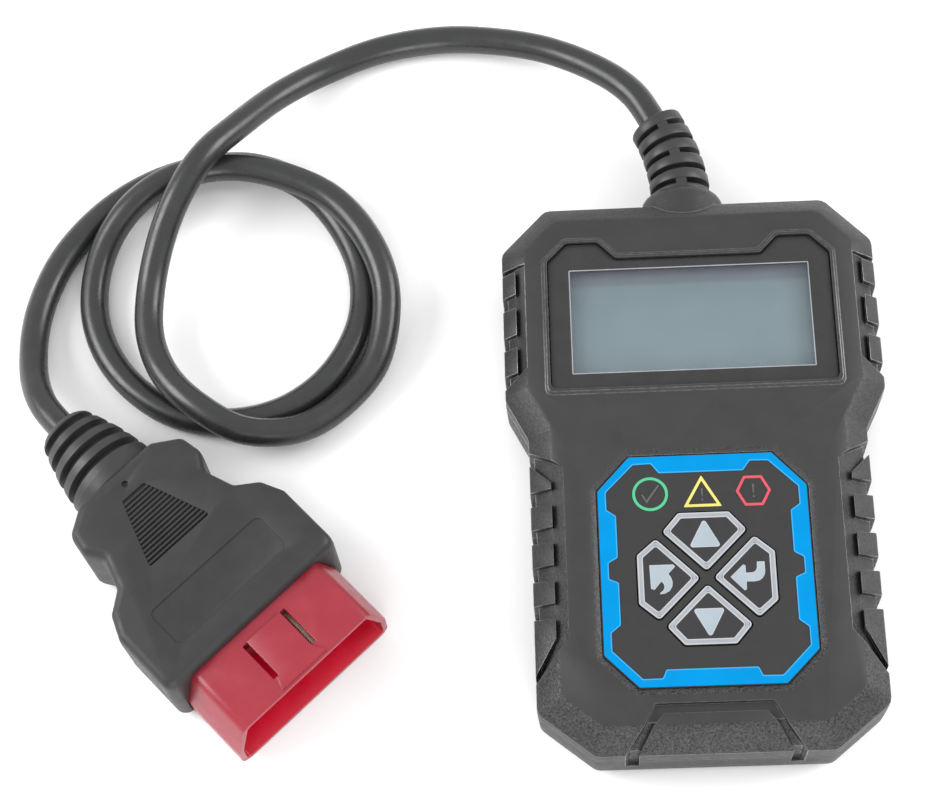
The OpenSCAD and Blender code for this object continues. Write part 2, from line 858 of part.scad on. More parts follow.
module plug_core() {
    color(shroud_red) at_plug() difference() {
        union() {
            across_section(core_front, shroud_depth + 0.1) polygon(shroud_outline(shroud_wall + 0.1));
            across_section(shroud_depth, core_back) polygon(shroud_outline(2.2));
        }
        pin_slots(0.08, core_front - 1, core_back + 1);
        // Channel that the socket's centre rib enters
        block([-15.5, core_front - 1, plug_z - 1.6], [15.5, core_front + 6, plug_z + 1.6]);
    }
}

module pin_slots(gap, y0, y1) {
    for (row = [-1, 1]) for (k = [0:pins_per_row - 1]) {
        x = (k - (pins_per_row - 1) / 2) * pin_pitch;
        z = plug_z + row * pin_row_half;
        block([x - 0.75 - gap, y0, z - 0.4 - gap], [x + 0.75 + gap, y1, z + 0.4 + gap]);
    }
}

module plug_pins() {
    color([0.80, 0.78, 0.70]) at_plug() pin_slots(0, 4, 34);
}

front_cover();
back_cover();
rear_label();
case_screws();
display_lens();
display_gasket();
display_panel();
display_backlight();
display_frame();
display_ribbon();
keypad_overlay();
key_up();
key_down();
key_back();
key_enter();
plunger_up();
plunger_down();
plunger_back();
plunger_enter();
key_switches();
main_board();
board_screws();
processor_chip();
transceiver_chips();
crystal();
capacitors();
resistors();
buzzer();
light_guides();
led_green();
led_yellow();
led_red();
cable_header();
header_plug();
harness_wires();
cable_boot();
cord();
plug_boot();
plug_body();
plug_shroud();
plug_core();
plug_pins();
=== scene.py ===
import json
import math
import bmesh
import bpy
from mathutils import Matrix, Vector
from mathutils.geometry import tessellate_polygon


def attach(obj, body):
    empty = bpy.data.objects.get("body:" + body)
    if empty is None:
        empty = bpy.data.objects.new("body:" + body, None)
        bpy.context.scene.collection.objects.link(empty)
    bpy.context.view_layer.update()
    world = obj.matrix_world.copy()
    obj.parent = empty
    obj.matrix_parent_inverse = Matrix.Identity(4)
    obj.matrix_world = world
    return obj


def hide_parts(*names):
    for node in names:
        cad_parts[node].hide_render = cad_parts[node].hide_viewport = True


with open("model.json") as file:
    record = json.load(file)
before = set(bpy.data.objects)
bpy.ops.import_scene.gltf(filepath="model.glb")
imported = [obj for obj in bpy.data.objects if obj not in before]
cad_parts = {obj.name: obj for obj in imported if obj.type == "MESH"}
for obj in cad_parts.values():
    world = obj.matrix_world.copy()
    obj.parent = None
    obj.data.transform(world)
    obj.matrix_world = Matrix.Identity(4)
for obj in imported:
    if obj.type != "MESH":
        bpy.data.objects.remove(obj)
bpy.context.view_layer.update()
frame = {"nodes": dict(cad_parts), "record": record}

MM = 0.001
scene = bpy.context.scene
nodes = frame["nodes"]


# ---- Camera ----

AZIMUTH, ELEVATION, ROLL = 6.3, 67.42, -8.0
LENS, DISTANCE = 87.17, 0.49
AIM = Vector((-0.04696, 0.02297, 0))


def place_camera():
    az, el, roll = (math.radians(a) for a in (AZIMUTH, ELEVATION, ROLL))
    back = Vector((math.sin(az) * math.cos(el), -math.cos(az) * math.cos(el), math.sin(el)))
    across = Vector((0, 0, 1)).cross(back).normalized()
    up = back.cross(across)
    x = math.cos(roll) * across + math.sin(roll) * up
    y = math.cos(roll) * up - math.sin(roll) * across
    data = bpy.data.cameras.new("camera")
    data.sensor_width, data.sensor_fit, data.lens = 36, "HORIZONTAL", LENS
    data.clip_start = 0.01
    cam = bpy.data.objects.new("camera", data)
    scene.collection.objects.link(cam)
    turn = Matrix((x, y, back)).transposed().to_4x4()
    cam.matrix_world = Matrix.Translation(AIM + back * DISTANCE) @ turn
    scene.camera = cam


place_camera()


# ---- Materials ----

# Noise scales, per metre: patches of colour, patches of gloss, and a slow wave in the surface
MOTTLE, GLOSS, WAVE = 190, 420, 160


class Nodes:
    """A material's node tree, with short calls for the nodes used here."""

    def __init__(self, name):
        self.mat = bpy.data.materials.new(name)
        self.mat.use_nodes = True
        self.tree = self.mat.node_tree
        self.shader = self.tree.nodes["Principled BSDF"]
        self.coord = self.tree.nodes.new("ShaderNodeTexCoord").outputs["Object"]

    def add(self, kind, **values):
        node = self.tree.nodes.new(kind)
        for key, value in values.items():
            setattr(node, key, value)
        return node

    def link(self, a, b):
        self.tree.links.new(a, b)

    def put(self, value, socket):
        """Sets a socket to a number, or links an output to it."""
        if isinstance(value, float):
            socket.default_value = value
        else:
            self.link(value, socket)

    def noise(self, scale, detail):
        node = self.add("ShaderNodeTexNoise")
        node.inputs["Scale"].default_value = scale
        node.inputs["Detail"].default_value = detail
        node.inputs["Roughness"].default_value = 0.55
        self.link(self.coord, node.inputs["Vector"])
        return node.outputs["Fac"]

    def ramp(self, source, low, high):
        """Two colours or greys across the middle of a noise's range."""
        node = self.add("ShaderNodeValToRGB")
        node.color_ramp.elements[0].position = 0.3
        node.color_ramp.elements[1].position = 0.7
        for element, c in zip(node.color_ramp.elements, (low, high)):
            element.color = (c, c, c, 1) if isinstance(c, float) else (*c, 1)
        self.link(source, node.inputs["Fac"])
        return node.outputs["Color"]

    def bump(self, source, strength, distance, below=None):
        node = self.add("ShaderNodeBump")
        node.inputs["Strength"].default_value = strength
        node.inputs["Distance"].default_value = distance
        self.link(source, node.inputs["Height"])
        if below:
            self.link(below, node.inputs["Normal"])
        return node.outputs["Normal"]

    def parts(self, vector):
        """A vector's X, Y and Z."""
        node = self.add("ShaderNodeSeparateXYZ")
        self.link(vector, node.inputs["Vector"])
        return node.outputs

    def span(self, source, start, end, low=0.0, high=1.0):
        """Goes from low to high while the source goes from start to end."""
        node = self.add("ShaderNodeMapRange")
        for key, value in (("From Min", start), ("From Max", end),
                           ("To Min", low), ("To Max", high)):
            node.inputs[key].default_value = value
        self.link(source, node.inputs["Value"])
        return node.outputs["Result"]

    def times(self, a, b):
        node = self.add("ShaderNodeMath", operation="MULTIPLY")
        self.put(a, node.inputs[0])
        self.put(b, node.inputs[1])
        return node.outputs["Value"]

    def mix(self, factor, a, b, blend="MIX"):
        """Blends two colours: the node's inputs 6 and 7, and its output 2."""
        node = self.add("ShaderNodeMix", data_type="RGBA", blend_type=blend)
        self.put(factor, node.inputs["Factor"])
        self.link(a, node.inputs[6])
        self.link(b, node.inputs[7])
        return node.outputs[2]


def plastic(name, colour, rough, grain=0.0, grain_size=2600, vary=0.12, spread=0.06, **sockets):
    """Moulded plastic or rubber: mottled colour, uneven gloss and a fine grain in its surface."""
    n = Nodes(name)
    low = tuple(c * (1 - vary) for c in colour)
    high = tuple(min(1.0, c * (1 + vary)) for c in colour)
    n.link(n.ramp(n.noise(MOTTLE, 4), low, high), n.shader.inputs["Base Color"])
    n.link(n.ramp(n.noise(GLOSS, 3), rough - spread, rough + spread), n.shader.inputs["Roughness"])
    if grain:
        wave = n.bump(n.noise(WAVE, 2), 0.05, 0.0006)
        n.link(n.bump(n.noise(grain_size, 2), grain, 0.00006, wave), n.shader.inputs["Normal"])
    for key, value in sockets.items():
        n.shader.inputs[key.replace("_", " ")].default_value = value
    return n.mat


def casing_plastic(name):
    """Fine matte on flat faces, a coarse grain on sloping ones, and painted shade in its hollows.

    The coarse grain is strongest near the lower end.
    """
    n = Nodes(name)
    upward = n.parts(n.add("ShaderNodeNewGeometry").outputs["True Normal"])["Z"]
    sloping = n.times(n.span(upward, 0.93, 0.985, 1.0, 0.0), n.span(upward, 0.2, 0.5))
    slope = n.times(sloping, n.span(n.parts(n.coord)["Y"], -0.030, -0.044, 0.4, 1.0))

    matte = n.ramp(n.noise(150, 4), (0.021, 0.021, 0.0215), (0.026, 0.026, 0.0265))
    speckled = n.ramp(n.noise(2300, 2), (0.002, 0.002, 0.0025), (0.052, 0.052, 0.053))
    # Painted shade: ambient occlusion darkens the colour in hollows, creases and grooves
    hollow = n.add("ShaderNodeAmbientOcclusion", samples=8)
    hollow.inputs["Distance"].default_value = 0.0016
    shade = n.span(hollow.outputs["AO"], 0.25, 0.75, 0.25, 1.0)
    n.link(n.mix(1.0, n.mix(slope, matte, speckled), shade, "MULTIPLY"),
           n.shader.inputs["Base Color"])
    n.link(n.mix(slope, n.ramp(n.noise(500, 3), 0.44, 0.54), n.ramp(n.noise(2000, 2), 0.24, 0.62)),
           n.shader.inputs["Roughness"])

    fine = n.bump(n.noise(5200, 2), 0.16, 0.00005, n.bump(n.noise(120, 2), 0.03, 0.0008))
    coarse = n.bump(n.noise(2100, 3), 0.85, 0.00022)
    # Blends two vectors: the node's inputs 4 and 5, and its output 1
    normal = n.add("ShaderNodeMix", data_type="VECTOR")
    n.link(slope, normal.inputs["Factor"])
    n.link(fine, normal.inputs[4])
    n.link(coarse, normal.inputs[5])
    n.link(normal.outputs[1], n.shader.inputs["Normal"])
    n.shader.inputs["Specular IOR Level"].default_value = 0.38
    return n.mat


def edge_highlight_plastic(name):
    """The casing's rounded edges: glossier, and painted lighter as a highlight, most at the grip
    blocks.
    """
    n = Nodes(name)
    place = n.parts(n.coord)
    away = n.add("ShaderNodeMath", operation="ABSOLUTE")
    n.link(place["X"], away.inputs[0])
    # Painted highlight: the edges' colour is lighter than the casing's, lightest on the grip blocks
    grip = n.times(n.span(away.outputs["Value"], 0.0325, 0.0345),
                   n.span(place["Y"], -0.0445, -0.0425))
    n.link(n.mix(grip, n.ramp(n.noise(900, 3), 0.020, 0.075), n.ramp(n.noise(500, 3), 0.03, 0.30)),
           n.shader.inputs["Base Color"])
    n.link(n.ramp(n.noise(GLOSS, 3), 0.16, 0.30), n.shader.inputs["Roughness"])
    n.link(n.bump(n.noise(2600, 2), 0.15, 0.00006), n.shader.inputs["Normal"])
    n.shader.inputs["Specular IOR Level"].default_value = 0.8
    return n.mat


def shroud_plastic(name):
    """Red; inside the mouth, on the floor that faces up, a purer, lighter red and a faint glow are
    painted light.
    """
    n = Nodes(name)
    upward = n.parts(n.add("ShaderNodeNewGeometry").outputs["Normal"])["Z"]
    inside = n.times(n.span(upward, 0.15, 0.5), n.span(n.parts(n.coord)["Z"], 0.0085, 0.0065))
    outer = n.ramp(n.noise(MOTTLE, 4), (0.236, 0.011, 0.023), (0.266, 0.015, 0.028))
    # Painted light: a lighter, purer red inside the mouth
    inner = n.ramp(n.noise(MOTTLE, 4), (0.33, 0.0, 0.012), (0.40, 0.0, 0.017))
    n.link(n.mix(inside, outer, inner), n.shader.inputs["Base Color"])
    n.link(n.ramp(n.noise(GLOSS, 3), 0.27, 0.38), n.shader.inputs["Roughness"])
    n.link(n.bump(n.noise(2400, 2), 0.12, 0.00006, n.bump(n.noise(WAVE, 2), 0.05, 0.0006)),
           n.shader.inputs["Normal"])
    # Painted glow: the mouth's floor gives off a little red light
    n.link(n.times(inside, 0.11), n.shader.inputs["Emission Strength"])
    n.shader.inputs["Emission Color"].default_value = (1.0, 0.0, 0.02, 1)
    return n.mat


def metal(name, colour, rough):
    n = Nodes(name)
    low = tuple(c * 0.85 for c in colour)
    n.link(n.ramp(n.noise(700, 4), low, colour), n.shader.inputs["Base Color"])
    n.link(n.ramp(n.noise(1500, 3), rough - 0.07, rough + 0.09), n.shader.inputs["Roughness"])
    n.link(n.bump(n.noise(3000, 2), 0.1, 0.00003), n.shader.inputs["Normal"])
    n.shader.inputs["Metallic"].default_value = 1.0
    return n.mat


MATERIALS = {
    "casing": casing_plastic("casing_plastic"),
    "casing_edge_highlight": edge_highlight_plastic("casing_edge_highlight"),
    "label": plastic("label_film", (0.52, 0.53, 0.55), 0.4, 0.05),
    "screw_steel": metal("zinc_plated_steel", (0.55, 0.56, 0.58), 0.32),
    "window": plastic("window_clear", (0.3, 0.32, 0.34), 0.08, 0.0, spread=0.02, Alpha=0.08),
    "border": plastic("window_print", (0.024, 0.024, 0.0245), 0.30, 0.03, 5000,
                      Specular_IOR_Level=0.35),
    "opening_line": plastic("opening_line", (0.27, 0.28, 0.31), 0.3, 0.03, 5000),
    "gasket": plastic("foam_gasket", (0.02, 0.02, 0.02), 0.9, 0.5),
    "diffuser": plastic("white_diffuser", (0.8, 0.82, 0.85), 0.35, 0.05),
    "inner_frame": plastic("frame_plastic", (0.03, 0.03, 0.03), 0.5, 0.2),
    "ribbon": plastic("polyimide_film", (0.45, 0.15, 0.03), 0.25, 0.05),
    "overlay": plastic("overlay_film", (0.021, 0.021, 0.0215), 0.45, 0.12, 4200, vary=0.06,
                       Specular_IOR_Level=0.36),
    "blue": plastic("blue_print", (0.0, 0.20, 0.475), 0.4, 0.06, 4200, vary=0.04,
                    Specular_IOR_Level=0.05),
    "blue_edge": plastic("blue_print_edge", (0.02, 0.27, 0.55), 0.3, 0.05, 4200, vary=0.05),
    "key": plastic("key_rubber", (0.020, 0.020, 0.0215), 0.46, 0.15, 3600, vary=0.06,
                   Specular_IOR_Level=0.36),
    "grey_print": plastic("grey_print", (0.275, 0.325, 0.365), 0.4, 0.05, 4200, vary=0.05),
    "grey_edge_highlight": plastic("grey_print_edge_highlight", (0.35, 0.365, 0.385), 0.4, 0.05, 4200, vary=0.05),
    "grey_band": plastic("grey_band", (0.25, 0.265, 0.29), 0.4, 0.05, 4200, vary=0.06),
    "dim_print": plastic("dim_print", (0.065, 0.065, 0.067), 0.4, 0.04, 4200, vary=0.1),
    "green_print": plastic("green_print", (0.055, 0.36, 0.18), 0.34, 0.04, 4200, vary=0.06),
    "yellow_print": plastic("yellow_print", (0.56, 0.50, 0.12), 0.34, 0.04, 4200, vary=0.06),
    "red_print": plastic("red_print", (0.50, 0.055, 0.08), 0.34, 0.04, 4200, vary=0.06),
    "plunger": plastic("plunger_acetal", (0.7, 0.68, 0.6), 0.4, 0.1),
    "switch": plastic("switch_plastic", (0.02, 0.02, 0.02), 0.45, 0.1),
    "board": plastic("solder_mask", (0.01, 0.09, 0.035), 0.25, 0.15, 900, vary=0.3),
    "chip": plastic("chip_epoxy", (0.015, 0.015, 0.016), 0.5, 0.25),
    "can": metal("aluminium_can", (0.62, 0.62, 0.64), 0.28),
    "light_guide": plastic("clear_guide", (0.8, 0.83, 0.86), 0.15, 0.03),
    "led_green": plastic("led_green_lens", (0.04, 0.6, 0.12), 0.15, 0.02),
    "led_yellow": plastic("led_yellow_lens", (0.8, 0.65, 0.02), 0.15, 0.02),
    "led_red": plastic("led_red_lens", (0.7, 0.02, 0.02), 0.15, 0.02),
    "connector": plastic("connector_nylon", (0.8, 0.78, 0.7), 0.35, 0.06),
    "wires": plastic("wire_jacket", (0.35, 0.04, 0.04), 0.4, 0.06),
    "boot": plastic("boot_rubber", (0.021, 0.021, 0.022), 0.46, 0.30, 3400),
    "cord_jacket": plastic("cord_jacket", (0.020, 0.0205, 0.0215), 0.30, 0.20, 2600, vary=0.10),
    "plug_housing": plastic("plug_housing", (0.020, 0.020, 0.021), 0.48, 0.30, 3400,
                            Specular_IOR_Level=0.4),
    "shroud": shroud_plastic("shroud_red"),
    "pin": metal("gilt_brass", (0.66, 0.61, 0.48), 0.40),
}


def display_material():
    """Grey-blue liquid crystal, darker towards the top, with a painted shadow, dark and purplish,
    along its upper edge.
    """
    n = Nodes("liquid_crystal")
    ramp = n.add("ShaderNodeValToRGB")
    ramp.color_ramp.elements[0].position = 0.0
    ramp.color_ramp.elements[0].color = (0.124, 0.179, 0.199, 1)
    ramp.color_ramp.elements[1].position = 1.0
    ramp.color_ramp.elements[1].color = (0.102, 0.110, 0.139, 1)
    # Painted shadow from the window's border: the dark, purplish band along the upper edge
    for place, colour in ((0.55, (0.114, 0.168, 0.189)), (0.86, (0.102, 0.149, 0.170)),
                          (0.90, (0.080, 0.103, 0.122)), (0.945, (0.092, 0.108, 0.136))):
        ramp.color_ramp.elements.new(place).color = (*colour, 1)
    n.link(n.span(n.parts(n.coord)["Y"], 0.0196, 0.0434), ramp.inputs["Fac"])
    n.link(n.mix(1.0, ramp.outputs["Color"], n.ramp(n.noise(45, 2), 0.96, 1.0), "MULTIPLY"),
           n.shader.inputs["Base Color"])
    n.link(n.ramp(n.noise(120, 2), 0.38, 0.44), n.shader.inputs["Roughness"])
    return n.mat


MATERIALS["lcd"] = display_material()

for part in frame["record"]["subparts"]:
    piece = nodes[part["node"]]
    for slot in piece.material_slots:
        slot.material = MATERIALS[part["material_slot"]]


# ---- Outlines, in millimetres ----

def unit(v):
    return v / v.length


def inset(poly, d):
    """The outline, which runs anticlockwise, moved inwards by d along every edge."""
    points, out = [Vector(p[:2]) for p in poly], []
    for i, b in enumerate(points):
        u, v = unit(b - points[i - 1]), unit(points[(i + 1) % len(points)] - b)
        p, q = b + Vector((-u.y, u.x)) * d, b + Vector((-v.y, v.x)) * d
        cross = u.x * v.y - u.y * v.x
        if abs(cross) < 1e-6:
            out.append(p)
        else:
            w = q - p
            out.append(p + u * ((w.x * v.y - w.y * v.x) / cross))
    return out


def rounded(poly, r, steps=6):
    points, out = [Vector(p[:2]) for p in poly], []
    for i, b in enumerate(points):
        u, v = unit(b - points[i - 1]), unit(points[(i + 1) % len(points)] - b)
        side = 1 if u.x * v.y - u.y * v.x > 0 else -1
        turn = math.acos(max(-1, min(1, u.dot(v))))
        if turn < 0.01:
            out.append(b)
            continue
        start = b - u * r * math.tan(turn / 2)
        centre = start + Vector((-u.y, u.x)) * side * r
        arm = start - centre
        for k in range(steps + 1):
            a = side * turn * k / steps
            out.append(centre + Vector((arm.x * math.cos(a) - arm.y * math.sin(a),
                                        arm.x * math.sin(a) + arm.y * math.cos(a))))
    return out


def mirrored(half):
    return list(half) + [(-x, y) for x, y in reversed(half) if x > 0]


def box(x, y0, y1):
    return [(-x, y0), (x, y0), (x, y1), (-x, y1)]


def spun(poly, degrees, centre):
    c, s = math.cos(math.radians(degrees)), math.sin(math.radians(degrees))
    return [(centre[0] + p[0] * c - p[1] * s, centre[1] + p[0] * s + p[1] * c) for p in poly]


# ---- Meshes ----

def make(name, points, faces, material, body="reader", cut_angle=32):
    """A mesh piece from points in millimetres. Edges sharper than cut_angle stay crisp."""
    mesh = bpy.data.meshes.new(name)
    mesh.from_pydata([Vector(p) * MM for p in points], [], faces)
    bm = bmesh.new()
    bm.from_mesh(mesh)
    bmesh.ops.remove_doubles(bm, verts=bm.verts, dist=1e-7)
    bmesh.ops.recalc_face_normals(bm, faces=bm.faces)
    bm.to_mesh(mesh)
    bm.free()
    mesh.materials.append(MATERIALS[material])
    mesh.shade_smooth()
    mesh.set_sharp_from_angle(angle=math.radians(cut_angle))
    piece = bpy.data.objects.new(name, mesh)
    scene.collection.objects.link(piece)
    if body:
        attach(piece, body)
    return piece


def plate_data(loops, z0, z1, at=0):
    """Points and faces of a flat plate. The first loop is its outline, the others its holes."""
    flat = [[Vector((p[0], p[1], 0)) for p in loop] for loop in loops]
    tris = tessellate_polygon(flat)
    ring = [p for loop in flat for p in loop]
    n = len(ring)
    points = [(p.x, p.y, z0) for p in ring] + [(p.x, p.y, z1) for p in ring]
    faces = [tuple(at + i for i in t) for t in tris] + [tuple(at + n + i for i in t) for t in tris]
    start = 0
    for loop in flat:
        m = len(loop)
        for i in range(m):
            a, b = start + i, start + (i + 1) % m
            faces.append((at + a, at + b, at + n + b, at + n + a))
        start += m
    return points, faces


def plate(name, plates, z0, z1, material, body="reader"):
    points, faces = [], []
    for loops in plates:
        p, f = plate_data(loops, z0, z1, len(points))
        points += p
        faces += f
    return make(name, points, faces, material, body)


def loft_data(rings, at=0):
    """Points and faces of a closed solid through rings of 3-D points, which have equal counts."""
    n = len(rings[0])
    points = [p for ring in rings for p in ring]
    faces = [(at + k * n + i, at + k * n + (i + 1) % n,
              at + (k + 1) * n + (i + 1) % n, at + (k + 1) * n + i)
             for k in range(len(rings) - 1) for i in range(n)]
    faces.append(tuple(at + i for i in reversed(range(n))))
    faces.append(tuple(at + (len(rings) - 1) * n + i for i in range(n)))
    return points, faces


def cut(piece, tool):
    """Cuts the tool's shape out of the piece and drops the tool."""
    mod = piece.modifiers.new("cut", "BOOLEAN")
    mod.operation, mod.solver, mod.object = "DIFFERENCE", "EXACT", tool
    settle(piece)
    bpy.data.objects.remove(tool)


def settle(piece):
    """Applies every modifier to the mesh."""
    bpy.context.view_layer.update()
    graph = bpy.context.evaluated_depsgraph_get()
    result = bpy.data.meshes.new_from_object(piece.evaluated_get(graph))
    piece.modifiers.clear()
    piece.data = result


def soften(piece, width, angle=30, cut_angle=32, edge=None):
    """Small round edges, as moulded plastic has.

    With edge, they have that material and their full width even where they run into each other.
    """
    bm = bmesh.new()
    bm.from_mesh(piece.data)
    bmesh.ops.remove_doubles(bm, verts=bm.verts, dist=2e-6)
    bmesh.ops.dissolve_limit(bm, angle_limit=math.radians(1.0), verts=bm.verts, edges=bm.edges)
    bm.to_mesh(piece.data)
    bm.free()
    mod = piece.modifiers.new("soften", "BEVEL")
    mod.width, mod.segments = width * MM, 2
    mod.limit_method, mod.angle_limit = "ANGLE", math.radians(angle)
    mod.use_clamp_overlap = edge is None
    if edge:
        piece.data.materials.append(MATERIALS[edge])
        mod.material = 1
    settle(piece)
    piece.data.shade_smooth()
    piece.data.set_sharp_from_angle(angle=math.radians(cut_angle))


def refined(name, node, material, width, body="reader", edge=None):
    """A piece with a CAD node's own shape and softened edges, which stands for that node."""
    mesh = nodes[node].data.copy()
    mesh.materials.clear()
    mesh.materials.append(MATERIALS[material])
    for attribute in ("custom_normal", "sharp_edge", "sharp_face"):
        if attribute in mesh.attributes:
            mesh.attributes.remove(mesh.attributes[attribute])
    piece = bpy.data.objects.new(name, mesh)
    scene.collection.objects.link(piece)
    soften(piece, width, edge=edge)
    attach(piece, body)
    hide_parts(node)
    return piece


# ---- Cord ----

CORD_D = 6.2
ROUTE = [
    (-4.5, 82.1, 9.8), (-9.2, 91, 9.4), (-16.6, 98.2, 8.2), (-28, 105.3, 5.9),
    (-40.5, 109.3, 4.2), (-53, 110.7, 3.25), (-66.1, 108.7, 3.25), (-78.4, 103.3, 4.2),
    (-88.4, 95.3, 8), (-96.5, 85.4, 13), (-103, 77, 16.2), (-108.3, 69, 15.2),
    (-112.8, 60, 11.5), (-115.6, 49, 8), (-115.6, 38, 7.4), (-111.8, 28, 8.8),
    (-104.5, 20, 9.8), (-94.5, 14.4, 8.8), (-83.1, 15.6, 5.8), (-73.8, 22, 4.3),
    (-66.6, 31.3, 5.4), (-64.4, 45.2, 7.5), (-67.8, 57.1, 9.1), (-75.7, 67.7, 9.5),
    (-86.8, 74, 9.7), (-99, 76.8, 9.7), (-111, 74.8, 9.7), (-120.5, 69, 8),
    (-127, 60, 4.8), (-129, 47.9, 3.25), (-126, 36.5, 3.1), (-119, 27, 3.1),
    (-109, 20.5, 3.1), (-97, 18.6, 3.1), (-85.5, 21.6, 3.1), (-76.2, 29.2, 3.1),
    (-70.5, 40.5, 3.1), (-70.2, 52.9, 3.1), (-75.1, 65, 3.1), (-83.4, 74.8, 3.1),
    (-94.8, 80.2, 3.1), (-107, 79.9, 3.1), (-118.5, 76, 3.1), (-128.5, 68.8, 3.1),
    (-136.5, 58.5, 3.1), (-141, 45.9, 3.25), (-141.3, 33, 4.7), (-138, 22.7, 8.4),
    (-131.9, 14.7, 11),
]


def make_cord():
    data = bpy.data.curves.new("cord_cable", "CURVE")
    data.dimensions = "3D"
    data.bevel_depth = CORD_D / 2 * MM
    data.bevel_resolution = 6
    data.resolution_u = 10
    data.use_fill_caps = True
    spline = data.splines.new("BEZIER")
    spline.bezier_points.add(len(ROUTE) - 1)
    points = [Vector(p) * MM for p in ROUTE]
    for i, (bp, p) in enumerate(zip(spline.bezier_points, points)):
        before, after = points[max(i - 1, 0)], points[min(i + 1, len(points) - 1)]
        reach = (after - before) / 6
        bp.co, bp.handle_left, bp.handle_right = p, p - reach, p + reach
        bp.handle_left_type = bp.handle_right_type = "FREE"
    data.materials.append(MATERIALS["cord_jacket"])
    piece = bpy.data.objects.new("cord_cable", data)
    scene.collection.objects.link(piece)
    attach(piece, "reader")
    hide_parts("cord")
    return piece


cord_cable = make_cord()


# ---- Casing ----

HALF_OVERLAY = [(14.4, -47.2), (21.15, -40.4), (21.15, -6.1), (14.5, 1.1)]
HALF_LENS = [(29.4, 16.4), (29.4, 45.2), (25.4, 49.3), (18.9, 49.3), (15.2, 45.4)]

casing_front = refined("casing_front", "front_cover", "casing", 0.12, edge="casing_edge_highlight")
casing_back = refined("casing_back", "back_cover", "casing", 0.12, edge="casing_edge_highlight")


# ---- Window ----

WINDOW_BASE = 19.58


def build_window():
    """The printed border lies just over the clear window's own top face."""
    lens = rounded(inset(mirrored(HALF_LENS), 0.05), 1.3, 8)
    hole = rounded(box(25.05, 19.65, 43.35), 0.25, 3)
    border = plate("window_border", [[lens, hole]], WINDOW_BASE, WINDOW_BASE + 0.14, "border")
    soften(border, 0.05)
    # Light cut edge of the opening
    outer = rounded(box(25.1, 19.6, 43.4), 0.25, 3)
    inner = rounded(box(24.83, 19.87, 43.13), 0.1, 3)
    line = plate("window_opening_line", [[outer, inner]], WINDOW_BASE, WINDOW_BASE + 0.08,
                 "opening_line")


build_window()


# ---- Keypad ----

KEYPAD_Y = -25.1
OVERLAY_TOP = 19.5
OVERLAY_BASE = OVERLAY_TOP - 0.05


def build_blue_frame():
    outer = rounded(inset(mirrored(HALF_OVERLAY), 0.2), 0.6, 4)
    half_inner = [
        (9.0, -43.55), (9.75, -45.3), (13.6, -45.35), (19.35, -39.5), (19.35, -35.8),
        (17.45, -34.3), (17.45, -25.5), (19.35, -24.7), (19.35, -21.4), (17.45, -20.3),
        (17.45, -11.5), (19.3, -10.2), (19.3, -6.45), (13.6, -0.75), (10.0, -0.65), (8.5, -2.7),
    ]
    inner = mirrored(half_inner)
    body = rounded(inset(inner, -0.22), 0.45, 3)
    edge = rounded(inner, 0.5, 3)
    blue = plate("keypad_blue_frame", [[outer, body]], OVERLAY_BASE, OVERLAY_TOP + 0.14, "blue")
    line = plate("keypad_blue_line", [[rounded(inset(inner, -0.24), 0.45, 3), edge]],
                 OVERLAY_BASE, OVERLAY_TOP + 0.17, "blue_edge")


def circle(centre, r, count=40):
    return [(centre[0] + r * math.cos(2 * math.pi * i / count),
             centre[1] + r * math.sin(2 * math.pi * i / count)) for i in range(count)]


def bang(x, y, k):
    """An exclamation mark's two closed outlines."""
    bar = [(x - 0.12 * k, y - 0.55 * k), (x + 0.12 * k, y - 0.55 * k),
           (x + 0.26 * k, y + 1.35 * k), (x - 0.26 * k, y + 1.35 * k)]
    dot = circle((x, y - 1.15 * k), 0.25 * k, 14)
    return [[rounded(bar, 0.1 * k, 3)], [dot]]


def build_status_marks():
    """A tick in a ring, and exclamation marks in a triangle and in a hexagon."""
    def sign(name, loops, rise, material):
        piece = plate(name, loops, OVERLAY_BASE, OVERLAY_TOP + rise, material)

    ring, face = 0.13, 0.11
    centre = (-10.4, -7.1)
    sign("mark_ok_ring", [[circle(centre, 3.6, 56), circle(centre, 3.02, 56)]], ring, "green_print")
    tick = [(-12.3, -7.2), (-11.9, -7.1), (-11.15, -8.3), (-8.85, -5.2), (-8.45, -5.3),
            (-11.15, -9.15)]
    sign("mark_ok_tick", [[tick]], face, "dim_print")
    triangle = [(-3.85, -10.15), (3.85, -10.15), (0, -3.45)]
    sign("mark_warn_ring", [[rounded(triangle, 0.12, 3), rounded(inset(triangle, 0.56), 0.1, 3)]],
         ring, "yellow_print")
    sign("mark_warn_sign", bang(0, -7.55, 0.95), face, "dim_print")
    hexagon = [(6.75, -7.1), (8.45, -10.3), (12.15, -10.3), (13.85, -7.1), (12.15, -3.9),
               (8.45, -3.9)]
    sign("mark_stop_ring", [[rounded(hexagon, 0.4, 3), rounded(inset(hexagon, 0.55), 0.3, 3)]],
         ring, "red_print")
    sign("mark_stop_sign", bang(10.3, -7.1, 1.05), face, "dim_print")


